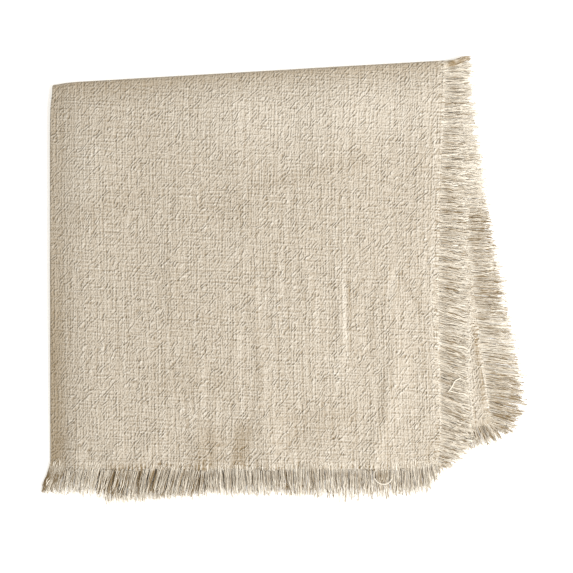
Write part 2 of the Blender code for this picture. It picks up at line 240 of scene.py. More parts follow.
# Partly fading and partly painted light and shade: lit areas, light and dark lines beside creases, shade at
# the hem.
FACE_TONES = strokes(
    (94.0, 189.0, 193.5, 194.5, 16.3, 0.09),
    (129.5, 191.0, 135.0, 194.5, 10.9, 0.06),
    (192.0, 191.0, 195.5, 182.0, 8.7, 0.07),
    (19.5, 168.5, 13.0, 152.0, 11.9, 0.07),
    (67.5, 192.0, 71.0, 187.0, 7.1, 0.04),
    (18.0, 140.0, 47.0, 149.0, 7.1, -0.06),
    (83.0, 144.0, 103.5, 140.0, 7.6, -0.05),
    (112.0, 154.0, 168.5, 168.5, 4.9, -0.06),
    (66.5, 106.0, 68.5, 77.0, 6.0, -0.045),
    (67.5, 80.5, 89.0, 82.5, 6.5, -0.04),
    (61.5, 50.0, 94.0, 44.5, 9.2, -0.06),
    (84.0, 4.5, 87.0, 16.5, 8.1, -0.17),
    (101.0, 2.0, 104.5, 20.5, 4.9, -0.24),
    (126.5, 28.0, 163.0, 30.5, 4.9, -0.07),
    (132.5, 18.5, 151.0, 21.5, 5.4, -0.07),
    (204.5, 2.0, 208.5, 16.5, 4.3, -0.08),
    (75.0, 62.5, 74.0, 38.0, 4.9, -0.06),
    (128.5, 179.0, 130.5, 165.5, 6.0, 0.07),
    (117.5, 97.5, 119.5, 89.5, 4.9, 0.05),
    (98.5, 125.0, 101.0, 119.5, 4.9, 0.05),
    (190.0, 92.5, 192.0, 53.0, 3.8, 0.02),
    (150.0, 58.5, 157.5, 52.0, 6.0, 0.06),
    (205.5, 117.0, 206.5, 107.0, 3.5, 0.06),
    (3.5, 205.5, 53.5, 206.5, 5.4, -0.06),
    (32.5, 0.5, 84.0, 0.5, 2.7, -0.2),
    (88.5, 0.0, 204.5, 0.0, 1.6, -0.06),
    (1.0, 4.5, 4.5, 16.5, 3.3, -0.14),
    (157.0, 111.0, 158.5, 97.5, 1.6, 0.1),
    (158.5, 97.5, 159.5, 73.5, 1.8, 0.14),
    (159.5, 73.5, 158.5, 56.0, 1.6, 0.12),
    (152.5, 52.5, 152.5, 51.0, 1.3, 0.08),
    (161.0, 103.0, 162.0, 89.5, 0.8, -0.24),
    (162.0, 89.5, 162.0, 76.0, 0.8, -0.2),
    (162.0, 76.0, 161.5, 58.5, 0.8, -0.14),
    (187.0, 108.5, 183.0, 96.5, 1.2, 0.1),
    (189.5, 107.0, 200.5, 86.5, 1.0, -0.1),
    (106.5, 93.5, 110.5, 68.0, 1.2, -0.05),
    (110.5, 68.0, 112.0, 46.0, 1.2, -0.07),
    (112.0, 46.0, 109.5, 27.0, 1.2, -0.07),
    (101.5, 76.0, 103.0, 38.0, 1.4, 0.05),
    (82.5, 53.0, 82.5, 31.5, 1.2, 0.08),
    (90.5, 39.0, 90.5, 10.0, 1.1, 0.07),
    (76.5, 35.5, 76.5, 20.5, 1.2, 0.05),
    (116.0, 113.0, 116.0, 96.5, 1.0, -0.08),
    (124.5, 109.5, 124.5, 75.0, 1.2, 0.06),
    (174.0, 92.5, 173.0, 64.0, 1.2, -0.06),
    (180.0, 50.0, 179.0, 27.0, 1.1, -0.09),
    (191.0, 53.0, 188.0, 27.0, 1.9, 0.06),
    (144.5, 92.5, 144.0, 75.0, 1.1, 0.06),
    (202.5, 66.0, 202.0, 50.0, 1.1, -0.08),
    (209.0, 23.0, 209.0, 7.5, 1.0, -0.14),
    (128.5, 2.0, 141.5, 2.0, 1.4, -0.1),
)
# Partly fading and partly painted light and shade, such as the dark lines along the strip's wrinkle.
BACK_STRIP_TONES = strokes(
    (229.0, 79.5, 231.0, 70.5, 1.1, -0.26),
    (231.0, 70.5, 231.5, 62.0, 1.2, -0.26),
    (231.5, 62.0, 235.0, 37.0, 1.3, -0.2),
    (226.5, 80.0, 227.5, 31.5, 2.0, 0.15),
    (233.5, 18.5, 240.0, 28.0, 3.3, -0.22),
)


def strokes_at(x, y, placed):
    """What the strokes add up to here. Where two meet, the stronger counts, so that no joint shows."""
    x = x / MILLIMETRE
    y = y / MILLIMETRE
    most = np.zeros_like(x)
    least = np.zeros_like(x)
    for stroke in placed:
        run = np.array((stroke.x1 - stroke.x0, stroke.y1 - stroke.y0))
        share = np.clip(((x - stroke.x0) * run[0] + (y - stroke.y0) * run[1]) / run.dot(run), 0.0, 1.0)
        off = np.hypot(x - stroke.x0 - share * run[0], y - stroke.y0 - share * run[1])
        here = stroke.amount * bell(off, stroke.half_width)
        most = np.maximum(most, here)
        least = np.minimum(least, here)
    return most + least


print(len(FACE_CREASES), "creases in the face,", len(BACK_STRIP_CREASES), "in the strip,",
      len(FACE_TONES) + len(BACK_STRIP_TONES), "patches")


# %% Unevenness that no crease accounts for
BUMPY_SIZES = (0.035, 0.0006), (0.012, 0.00007)
LAYERS_APART = 7.0
FACE_SHARE_OF_BUMPS = 0.7


def unevenness(x, y, level):
    """Slow dips and swells, the same each time, and different in each layer."""
    total = np.zeros_like(x)
    for size, height in BUMPY_SIZES:
        total += height * np.array([noise.noise(Vector((a / size, b / size, LAYERS_APART * c)))
                                    for a, b, c in zip(x.flat, y.flat, level.flat)]).reshape(x.shape)
    return total


print("unevenness in sizes of", ", ".join(f"{size / MILLIMETRE:.0f} mm" for size, height in BUMPY_SIZES))


# %% The whole way from the flat panel to the folded napkin
SINK_TO_TABLE = (SOLID_THICK - SHEET_THICK) / 2
LEFT_PRESSED = 0.55
LEFT_PRESSED_REACH = 0.0120
TOP_PRESSED = 0.45
TOP_PRESSED_REACH = 0.0110


def press_folds(x, across, z):
    """The layers lie closer together towards the two folds, where the napkin has been pressed."""
    at_left = LEFT_PRESSED * bell(np.maximum(x, 0.0), LEFT_PRESSED_REACH)
    at_top = TOP_PRESSED * bell(np.minimum(across - TOP_BEND_DEPTH, 0.0), TOP_PRESSED_REACH)
    table_layer = SHEET_THICK / 2
    return table_layer + (z - table_layer) * (1 - np.maximum(at_left, at_top))


def lay_in_pattern(u, v, bumpy=True):
    """Arrays of flat places in, an array of folded places out, from the left fold's foot at the hem."""
    x, height = fold_left(u, v)
    puff = np.where(x > 0, np.abs(height) - HALF_PITCH, left_puff(v))
    radius = TOP_BEND_DEPTH + height
    along = x * COS + (v - TOP_FOLD_AT_LEFT) * SIN
    past = -x * SIN + (v - TOP_FOLD_AT_LEFT) * COS
    turn = np.clip(past / radius, 0.0, math.pi)
    whole = -x * SIN + (LENGTH - TOP_FOLD_AT_LEFT) * COS
    stretch = (whole - math.pi * TOP_BEND_DEPTH - BACK_TURN * x) / (whole - math.pi * radius)
    depth = np.maximum(0.0, past - math.pi * radius) * stretch
    along = along + BACK_TURN * depth
    across = np.minimum(past, 0.0) + radius * np.sin(turn) - depth
    front = (1 + np.cos(turn)) / 2
    z = radius * np.cos(turn)
    place_x = along * COS - across * SIN
    place_y = TOP_FOLD_AT_LEFT + along * SIN + across * COS

    flattened = 2 * TOP_PUFF * (1 - bell(np.minimum(past, 0.0), TOP_PUFF_REACH))
    face_share = np.clip((height + HALF_PITCH) / (2 * HALF_PITCH), 0.0, 1.0)
    lift = under_front(place_x, place_y) - PAIR_TOP - flattened
    beyond = np.maximum.reduce([np.abs(u) - HALF_WIDTH, -v, v - LENGTH, np.zeros_like(u)])
    settled = FRINGE_SETTLE * ease(beyond / FRINGE_LENGTH)
    z = z + front * (lift - settled * (HALF_PITCH + height))
    z = z - (1 - front) * settled * (HALF_PITCH - height)
    if bumpy:
        uneven = unevenness(place_x, place_y, np.round(front + face_share))
        creases = MILLIMETRE * strokes_at(place_x, place_y, FACE_CREASES)
        z = z + front * face_share * (creases + FACE_SHARE_OF_BUMPS * uneven)
        back_strip = (1 - front) * (1 - face_share)
        z = z + back_strip * MILLIMETRE * strokes_at(place_x, place_y, BACK_STRIP_CREASES)

    corner = CORNER_DRAW_IN * bell(np.hypot(place_x, place_y - TOP_FOLD_AT_LEFT), CORNER_REACH)
    bow = SIDE_BOW * (place_x / HALF_WIDTH) ** 2 * np.sin(math.pi * place_y / TOP_FOLD_AT_LEFT)
    below = np.maximum(HEM_FLARE_START - v, 0.0)
    flare = HEM_FLARE * below * np.exp(-np.abs(place_x) / HEM_FLARE_REACH)
    hem_corner = front * bell(np.hypot(place_x - HALF_WIDTH, place_y), HEM_CORNER_REACH)
    corner_x = corner - hem_corner * HEM_CORNER_IN
    corner_y = hem_corner * HEM_CORNER_UP - corner
    above_table = press_folds(place_x, across, z + TOP_BEND_HEIGHT + puff - SINK_TO_TABLE)
    return np.stack([place_x + corner_x - front * (bow + flare), place_y + corner_y, above_table], axis=-1)


# %% Where the folded napkin stands in the frame
hem_u = np.linspace(-HALF_WIDTH, HALF_WIDTH, 2001)
back_hem = lay_in_pattern(hem_u, np.full_like(hem_u, LENGTH), bumpy=False)
cloth_low, cloth_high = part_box("cloth")
SHIFT = np.array((cloth_high[0] - back_hem[:, 0].max(), cloth_low[1] - back_hem[:, 1].min(), 0.0))


def lay(u, v, bumpy=True):
    """The same in the frame's own metres."""
    return lay_in_pattern(np.asarray(u, float), np.asarray(v, float), bumpy) + SHIFT


print("the left fold's foot is at", np.round(lay(np.zeros(1), np.zeros(1))[0] / MILLIMETRE, 1), "mm")

# %% [markdown]
# ## The cloth
#
# The panel is a grid of its flat pattern with each point laid through the folds, and Solidify then gives it
# its thickness. The grid is fine only where it shows: on the face, and at the outer end of the half beneath,
# which sticks out at the right. The rows in the top fold run along with it, or its edge would look stepped.
# The outermost points are moved a little, because threads were pulled out there and the edge is ragged. The
# flat place of each point is kept as a UV map in metres, so that the weave follows the cloth.

# %% Columns and rows of the panel
BEND_U = HALF_PITCH * math.pi / 2
STRIP_START = -0.188
FACE_COLUMNS = np.linspace(BEND_U, HALF_WIDTH, 188)
ROUND_COLUMNS = np.linspace(-BEND_U, BEND_U, 7)
HIDDEN_COLUMNS = np.linspace(STRIP_START, -BEND_U, 11)
STRIP_COLUMNS = np.linspace(-HALF_WIDTH, STRIP_START, 32)
COLUMNS = np.unique(np.concatenate([STRIP_COLUMNS, HIDDEN_COLUMNS, ROUND_COLUMNS, FACE_COLUMNS]))

FRONT_ROWS = np.linspace(0.0, 1.0, 113)
BEND_ROWS = np.linspace(0.0, 1.0, 9)
BACK_ROWS = np.linspace(0.0, 1.0, 70)


def column_of_v(u):
    """The heights of one column's rows: front, round the top fold, and back."""
    x, height = fold_left(u, TOP_FOLD_AT_LEFT)
    start = TOP_FOLD_AT_LEFT + x * math.tan(FOLD_SLOPE)
    end = start + math.pi * (TOP_BEND_DEPTH + height) / COS
    return np.concatenate([start * FRONT_ROWS, start + (end - start) * BEND_ROWS[1:],
                           end + (LENGTH - end) * BACK_ROWS[1:]])


RAGGED = 0.0010
RAGGED_SEED = 11

flat_v = np.stack([column_of_v(u) for u in COLUMNS])
flat_u = np.repeat(COLUMNS[:, None], flat_v.shape[1], axis=1)
ragged_rng = np.random.default_rng(RAGGED_SEED)
for end, inwards in (0, 1), (-1, -1):
    flat_v[:, end] += ragged_rng.uniform(-RAGGED, RAGGED, len(flat_v))
    flat_u[end, :] += inwards * ragged_rng.uniform(0.0, RAGGED, flat_u.shape[1])
print("grid of", flat_v.shape[0] - 1, "by", flat_v.shape[1] - 1, "cells")


# %% Lay the panel and give it its thickness
def new_piece(name, mesh):
    piece = bpy.data.objects.new(name, mesh)
    bpy.context.scene.collection.objects.link(piece)
    return piece


# How far and how strongly painted shade darkens the cloth's colour along the left and top folds.
LEFT_SHADE_REACH = 0.0075
LEFT_SHADE_ABOVE = 0.45
LEFT_SHADE_WEAKENS_AT = 0.130
LEFT_SHADE_WEAKENS_OVER = 0.070
TOP_SHADE = 0.70
TOP_SHADE_REACH = 0.0070


def fold_shade(u, v):
    """Nearness to the left or the top fold, which sets how much shade is painted into the cloth's colour
    there.
    """
    x, height = fold_left(u, v)
    from_top = -x * SIN + (v - TOP_FOLD_AT_LEFT) * COS - (TOP_BEND_DEPTH + height) * math.pi / 2
    low_down = ease((LEFT_SHADE_WEAKENS_AT - v) / LEFT_SHADE_WEAKENS_OVER)
    at_left = bell(np.maximum(x, 0.0), LEFT_SHADE_REACH)
    at_left = at_left * (LEFT_SHADE_ABOVE + (1 - LEFT_SHADE_ABOVE) * low_down)
    return np.maximum(at_left, TOP_SHADE * bell(from_top, TOP_SHADE_REACH))


PATCHES_START_ACROSS = 0.004
PATCHES_START_UP = 0.012


def patches(u, v, places):
    """How much lighter or darker the cloth is here, on the face and on the back strip: partly fading, partly
    painted light and shade.
    """
    x = places[..., 0] - SHIFT[0]
    y = places[..., 1] - SHIFT[1]
    before_top = (TOP_FOLD_AT_LEFT + PATCHES_START_UP - v) / PATCHES_START_UP
    on_face = ease(u / PATCHES_START_ACROSS) * ease(before_top)
    on_strip = ease(-u / PATCHES_START_ACROSS) * ease((v - TOP_FOLD_AT_RIGHT) / PATCHES_START_UP)
    return on_face * strokes_at(x, y, FACE_TONES) + on_strip * strokes_at(x, y, BACK_STRIP_TONES)


def panel_mesh(name):
    places = lay(flat_u, flat_v)
    shade = fold_shade(flat_u, flat_v)
    tone = patches(flat_u, flat_v, places)
    across, up = flat_v.shape
    bm = bmesh.new()
    bmesh.ops.create_grid(bm, x_segments=across - 1, y_segments=up - 1, size=1.0)
    flat_map = bm.loops.layers.uv.new("flat_cloth")
    place_of = {}
    # Painted shade: how much the colour is darkened along the folds.
    painted_fold_shade = bm.verts.layers.float.new("painted_fold_shade")
    # The patches, partly fading and partly painted light and shade.
    faded_and_painted_light = bm.verts.layers.float.new("faded_and_painted_light")
    for vertex in bm.verts:
        i = round((vertex.co.x + 1) / 2 * (across - 1))
        j = round((vertex.co.y + 1) / 2 * (up - 1))
        place_of[vertex.index] = (flat_u[i, j], flat_v[i, j])
        vertex.co = places[i, j]
        vertex[painted_fold_shade] = shade[i, j]
        vertex[faded_and_painted_light] = tone[i, j]
    for face in bm.faces:
        face.smooth = True
        for loop in face.loops:
            loop[flat_map].uv = place_of[loop.vert.index]
    mesh = bpy.data.meshes.new(name)
    bm.to_mesh(mesh)
    bm.free()
    return mesh


cloth = new_piece("linen_cloth", panel_mesh("linen_cloth"))
thickness = cloth.modifiers.new("thickness", "SOLIDIFY")
thickness.thickness = SHEET_THICK
thickness.offset = 0.0
print("cloth:", len(cloth.data.polygons), "faces before its thickness")

# %% [markdown]
# ## Fringe: how long and which way
#
# A pulled-thread fringe isn't even. Its yarns differ in length from place to place, they droop to one side,
# and they cling together in small tufts. Each list gives the length and the sideways lean of the tips at a
# few places along one side of the panel, and the yarns between take values in between. They are close to the
# lengths and leans of the solids' locks. Tone makes yarns lighter or darker, and gaps opens the tufts up.

# %% How each side's yarns reach out
class Reach(NamedTuple):
    """At a place along the side, in metres: the yarns' length, how far their tips lie along the side from
    their roots, their tone, and how open the tufts are, from 0 to 1."""

    at: float
    length: float
    lean: float
    tone: float
    gaps: float = 0.0


def reaches(*rows):
    return [Reach(*row) for row in rows]


# Darker tones here are partly painted shade, where the fringe lies in the shade of the cloth and yarns over
# it.
SIDE_OUTER = reaches(
    (0.000, 0.0060, -0.0025, -0.15),
    (0.006, 0.0100, -0.0035, -0.15),
    (0.014, 0.0145, -0.0055, -0.15),
    (0.030, 0.0155, -0.0060, -0.15),
    (0.090, 0.0165, -0.0045, -0.10),
    (0.130, 0.0150, -0.0010, -0.05),
    (0.220, 0.0130, 0.0005, 0.05),
    (0.270, 0.0132, 0.0015, 0.20),
    (0.290, 0.0136, 0.0017, 0.20),
    (0.320, 0.0136, 0.0019, -0.15),
    (0.334, 0.0152, 0.0021, -0.20),
    (0.350, 0.0166, 0.0030, 0.00),
    (0.380, 0.0190, 0.0040, -0.15),
    (0.410, 0.0195, 0.0060, -0.40),
    (0.424, 0.0110, 0.0060, -0.30),
)
SIDE_INNER = reaches(
    (0.000, 0.0060, -0.0025, -0.15),
    (0.014, 0.0135, -0.0050, -0.15),
    (0.090, 0.0150, -0.0030, -0.10),
    (0.220, 0.0125, 0.0005, 0.05),
    (0.270, 0.0136, 0.0015, 0.20),
    (0.290, 0.0144, 0.0017, 0.20),
    (0.305, 0.0140, 0.0018, -0.05),
    (0.314, 0.0142, 0.0020, -0.50),
    (0.323, 0.0146, 0.0020, -0.45),
    (0.331, 0.0150, 0.0022, -0.10),
    (0.338, 0.0154, 0.0022, -0.15),
    (0.347, 0.0160, 0.0030, -0.50),
    (0.356, 0.0166, 0.0034, -0.45),
    (0.366, 0.0172, 0.0040, 0.00),
    (0.382, 0.0185, 0.0048, 0.05),
    (0.392, 0.0198, 0.0055, -0.35),
    (0.401, 0.0210, 0.0060, -0.60),
    (0.410, 0.0212, 0.0065, -0.95),
    (0.418, 0.0170, 0.0070, -0.80),
    (0.426, 0.0110, 0.0065, -0.35),
)
HEM_FRONT = reaches(
    (0.000, 0.0055, 0.0000, -0.10),
    (0.010, 0.0110, -0.0010, -0.10),
    (0.080, 0.0140, -0.0010, 0.00),
    (0.170, 0.0150, 0.0020, -0.20),
    (0.215, 0.0128, -0.0005, -0.25),
    (0.221, 0.0127, -0.0008, 0.00),
    (0.226, 0.0125, -0.0010, 0.15),
    (0.240, 0.0130, -0.0025, 0.18, 0.15),
    (0.247, 0.0134, -0.0040, -0.30, 0.65),
    (0.270, 0.0148, -0.0028, -0.32, 0.75),
    (0.282, 0.0152, -0.0045, -0.38, 0.68),
    (0.297, 0.0148, -0.0040, -0.46, 0.75),
    (0.302, 0.0140, 0.0005, -0.08, 0.42),
    (0.316, 0.0140, 0.0005, 0.08, 0.42),
    (0.332, 0.0142, 0.0005, 0.04, 0.42),
    (0.344, 0.0144, 0.0005, -0.18, 0.50),
    (0.353, 0.0148, 0.0002, -0.05, 0.42),
    (0.380, 0.0168, -0.0005, 0.02, 0.32),
    (0.418, 0.0154, 0.0005, -0.06, 0.25),
    (0.425, 0.0122, 0.0005, 0.10, 0.10),
    (0.431, 0.0050, 0.0010, 0.15),
)
HEM_BACK = reaches(
    (0.000, 0.0085, -0.0055, -0.30),
    (0.008, 0.0115, -0.0040, -0.35),
    (0.022, 0.0135, -0.0015, -0.25),
    (0.060, 0.0125, 0.0010, -0.10),
    (0.130, 0.0170, 0.0025, 0.15),
    (0.200, 0.0165, 0.0020, 0.18),
    (0.215, 0.0140, 0.0010, 0.05),
    (0.240, 0.0160, 0.0000, 0.20),
    (0.300, 0.0160, -0.0020, 0.15),
    (0.370, 0.0125, -0.0010, -0.10),
    (0.431, 0.0095, 0.0030, -0.20),
)


class Lock(NamedTuple):
    """A tuft of its own: its middle and half width at the root, its number of strands, its
    tips' reach and lean, how far they are then shifted, and its tone."""

    at: float
    half_width: float
    count: int
    length: float
    lean: float
    shift: tuple
    tone: float


class Side(NamedTuple):
    """One side of the panel: its piece, its solid, how long it is, its reaches, the way from a place along
    and outside it to the flat panel, and its own tufts."""

    piece: str
    solid: str
    length: float
    reaches: list
    to_flat: object
    locks: tuple = ()


SIDES = (
    Side("yarns_side_outer", "fringe_side_outer", LENGTH, SIDE_OUTER,
         lambda along, out: (HALF_WIDTH + out, along),
         (Lock(0.2198, 0.0016, 50, 0.0122, 0.0000, (0.0, 0.0042, 0.0006), -0.18),
          Lock(0.2200, 0.0014, 36, 0.0068, 0.0000, (0.0, 0.0026, 0.0006), -0.20))),
    Side("yarns_side_inner", "fringe_side_inner", LENGTH, SIDE_INNER,
         lambda along, out: (-HALF_WIDTH - out, along)),
    Side("yarns_hem_front", "fringe_hem_front", 2 * HALF_WIDTH, HEM_FRONT,
         lambda along, out: (along - HALF_WIDTH, -out),
         (Lock(0.2152, 0.0040, 80, 0.0120, 0.0000, (-0.0010, 0.0, 0.0), -0.40),
          Lock(0.2215, 0.0032, 60, 0.0112, -0.0004, (-0.0012, 0.0, 0.0), -0.15),
          Lock(0.3965, 0.0038, 24, 0.0070, 0.0000, (0.0, 0.0, 0.0005), 0.00))),
    Side("yarns_hem_back", "fringe_hem_back", 2 * HALF_WIDTH, HEM_BACK,
         lambda along, out: (along - HALF_WIDTH, LENGTH + out)),
)
print("sides:", ", ".join(side.piece for side in SIDES))

# %% [markdown]
# ## Fringe: one point for each yarn
#
# Each yarn starts as a point just inside the cloth's edge. The point carries what its yarn needs: aim, the
# straight way from its root to its tip, how thick it is, how much it wanders, and how light it is. Both ends
# are laid through the folds as the cloth was. Neighbouring yarns lean towards the middle of their tuft, and
# finer hairs between them blur the tips.

# %% Roots of the yarns
# Pairs are ranges that each yarn, or each tuft, takes a share from.
TUFT_PITCH = 0.0030
UNEVEN_PITCH = (0.5, 1.5)
TUFT_PULL = 0.40
OPEN_TUFT_PULL = 0.90
TUFT_FILL = 1.6
UNEVEN_FILL = (0.8, 1.6)
GAP_DEPTH = 0.75
ROOT_SCATTER = 0.8
LIFT_AT_TIP = (0.3, 1.2)
UNEVEN_RADIUS = (0.7, 1.25)
UNEVEN_WANDER = (0.4, 1.3)
LESS_WANDER_AT_GAPS = 0.5


class Strand(NamedTuple):
    """One kind of strand: its spacing and radius, how far it strays, the ranges of its length as a share of
    the side's, of its root's place inside the cloth, of its lift and of its tone, and how much it follows the
    side's tone. The kinds that follow it less lie on top and leave gaps between tufts."""

    pitch: float
    radius: float
    wander: float
    own_way: float
    spread: float
    length: tuple
    inside: tuple
    lift: tuple
    tone: tuple
    follows: float


# Painted shade: the yarns beneath are given darker tones than those on top, as if shaded by them.
UNDER_YARNS = Strand(pitch=0.00055, radius=0.00022, wander=0.0016, own_way=0.3, spread=0.0006,
                     length=(0.60, 1.00), inside=(0.0010, 0.0016), lift=(-0.0003, 0.0),
                     tone=(0.0, 0.5), follows=1.6)
UPPER_YARNS = Strand(pitch=0.00052, radius=0.00019, wander=0.0026, own_way=0.6, spread=0.0008,
                     length=(0.62, 1.12), inside=(0.0004, 0.0050), lift=(0.00025, 0.0004),
                     tone=(0.3, 1.0), follows=0.5)
HAIRS = Strand(pitch=0.00042, radius=0.00007, wander=0.0038, own_way=2.0, spread=0.0018,
               length=(0.50, 1.32), inside=(0.0, 0.0030), lift=(0.0, 0.0008),
               tone=(0.9, 1.5), follows=0.3)


def tuft_middles(length, rng):
    """Uneven places along a side for the tufts to gather at."""
    steps = rng.uniform(*UNEVEN_PITCH, int(length / TUFT_PITCH)) * TUFT_PITCH
    middles = np.cumsum(steps)
    return middles * length / middles[-1]


def strands(side, kind, middles, rng):
    """One kind of strand along a side: arrays of roots, aims and other values, a row for each strand."""
    count = int(side.length / kind.pitch)
    scatter = rng.uniform(-ROOT_SCATTER, ROOT_SCATTER, count) * kind.pitch
    root = np.linspace(0, side.length, count) + scatter
    nearest = middles[np.abs(root[:, None] - middles[None, :]).argmin(axis=1)]
    at, *columns = zip(*side.reaches)
    length, lean, tone, gaps = (np.interp(root, at, column) for column in columns)
    lighter = kind.follows * tone
    gaps = gaps * (kind.follows < 1)
    off_middle = np.abs(root - nearest) / (TUFT_PITCH / 2)
    kept = off_middle < TUFT_FILL * (1 - GAP_DEPTH * gaps) * rng.uniform(*UNEVEN_FILL, count)
    length = length * rng.uniform(*kind.length, count)
    pull = TUFT_PULL + (OPEN_TUFT_PULL - TUFT_PULL) * gaps
    tip = root + lean + pull * (nearest - root) + rng.normal(0.0, kind.spread, count) * (1 - gaps)
    start = lay(*side.to_flat(root, -rng.uniform(*kind.inside, count)), bumpy=False)
    end = lay(*side.to_flat(tip, length), bumpy=False)
    lift = rng.uniform(*kind.lift, count)
    start[:, 2] += lift
    end[:, 2] += lift * rng.uniform(*LIFT_AT_TIP, count)
    values = {
        "root": start,
        "aim": end - start,
        "radius": kind.radius * rng.uniform(*UNEVEN_RADIUS, count),
        "wander": kind.wander * rng.uniform(*UNEVEN_WANDER, count) * (1 - LESS_WANDER_AT_GAPS * gaps),
        "tone": rng.uniform(*kind.tone, count) + lighter,
        "own_way": kind.own_way * rng.uniform(-1.0, 1.0, count),
    }
    return {key: value[kept] for key, value in values.items()}


LOCK_NARROWS = 0.7
LOCK_LENGTH = (0.7, 1.1)
LOCK_TONE = (0.1, 0.6)
LOCK_OWN_WAY = 0.6
LOCK_INSIDE = 0.002
LOCK_LIFT = 0.0003
LOCK_RADIUS = 0.00018
LOCK_WANDER = 0.0016


def lock_strands(side, lock, rng):
    """The strands of one such tuft. Their roots are spread and their tips come together."""
    off = rng.uniform(-1.0, 1.0, lock.count)
    root = lock.at + off * lock.half_width
    tip = lock.at + lock.lean + LOCK_NARROWS * off * lock.half_width
    start = lay(*side.to_flat(root, -rng.uniform(0.0, LOCK_INSIDE, lock.count)), bumpy=False)
    end = lay(*side.to_flat(tip, lock.length * rng.uniform(*LOCK_LENGTH, lock.count)), bumpy=False)
    start[:, 2] += LOCK_LIFT
    end += lock.shift
    return {
        "root": start,
        "aim": end - start,
        "radius": LOCK_RADIUS * rng.uniform(*UNEVEN_RADIUS, lock.count),
        "wander": LOCK_WANDER * rng.uniform(*UNEVEN_WANDER, lock.count),
        "tone": rng.uniform(*LOCK_TONE, lock.count) + lock.tone,
        "own_way": rng.uniform(-LOCK_OWN_WAY, LOCK_OWN_WAY, lock.count),
    }


def roots_of(side, seed):
    """All strands of a side as a mesh of loose points that carry their values as attributes."""
    rng = np.random.default_rng(seed)
    middles = tuft_middles(side.length, rng)
    kinds = [strands(side, kind, middles, rng) for kind in (UNDER_YARNS, UPPER_YARNS, HAIRS)]
    kinds += [lock_strands(side, lock, rng) for lock in side.locks]
    every = {key: np.concatenate([kind[key] for kind in kinds]) for key in kinds[0]}
    mesh = bpy.data.meshes.new(side.piece + "_roots")
    mesh.from_pydata(every.pop("root").tolist(), [], [])
    aim = every.pop("aim")
    mesh.attributes.new("aim", "FLOAT_VECTOR", "POINT").data.foreach_set("vector", aim.ravel())
    for key, values in every.items():
        mesh.attributes.new(key, "FLOAT", "POINT").data.foreach_set("value", values)
    return mesh


roots = {side.piece: roots_of(side, seed) for seed, side in enumerate(SIDES)}
print({name: len(mesh.vertices) for name, mesh in roots.items()})

# %% [markdown]
# ## Fringe: Geometry Nodes grow the yarns
#
# Thousands of like things that start at points are what Geometry Nodes are for. The tree makes one straight,
# tapering strand, puts a copy on every root, turned and stretched to its aim, and then lets them wander
# sideways, more so towards their tips. Noise on the place moves neighbours together, as tufts do, and each
# strand's own number moves it a little apart from them.

# %% Helpers for trees of nodes
def feed(tree, node, values):
    """Gives a node's inputs, by name or number, a value each, or links them to a socket."""
    for key, value in values.items():
        if isinstance(value, bpy.types.NodeSocket):
            tree.links.new(value, node.inputs[key])
        else:
            node.inputs[key].default_value = value


def add_node(tree, kind, values=None, **settings):
    """Adds a node with its settings and feeds it."""
    made = tree.nodes.new(kind)
    for key, value in settings.items():
        setattr(made, key, value)
    feed(tree, made, values or {})
    return made


def add_sockets(tree, inputs, outputs):
    """Gives a group its inputs, from rows of name, kind and value, and its outputs. Returns the inputs."""
    for name, kind, value in inputs:
        made = tree.interface.new_socket(name=name, in_out="INPUT", socket_type="NodeSocket" + kind)
        if value is not None:
            made.default_value = value
    for name, kind in outputs:
        tree.interface.new_socket(name=name, in_out="OUTPUT", socket_type="NodeSocket" + kind)
    return tree.nodes.new("NodeGroupInput").outputs


def end_group(tree, *sockets):
    ending = tree.nodes.new("NodeGroupOutput")
    feed(tree, ending, dict(enumerate(sockets)))
    return tree


def named_value(tree, name, kind="FLOAT"):
    """A value that the points carry."""
    return add_node(tree, "GeometryNodeInputNamedAttribute", {"Name": name}, data_type=kind).outputs[0]


def vector_math(tree, operation, *values):
    made = add_node(tree, "ShaderNodeVectorMath", dict(enumerate(values)), operation=operation)
    return made.outputs["Value" if operation in ("LENGTH", "DOT_PRODUCT") else "Vector"]


def scaled(tree, vector, factor):
    return add_node(tree, "ShaderNodeVectorMath", {"Vector": vector, "Scale": factor},
                    operation="SCALE").outputs[0]


def math_node(tree, operation, *values, clamp=False):
    return add_node(tree, "ShaderNodeMath", dict(enumerate(values)), operation=operation,
                    use_clamp=clamp).outputs[0]


# %% The tree that grows yarns out of points
YARN_STEPS = 9
YARN_SIDES = 3
TIP_SHARE = 0.28
WAVE_SIZE = 0.0045
LESS_UP_AND_DOWN = (2.0, 2.0, 0.35)


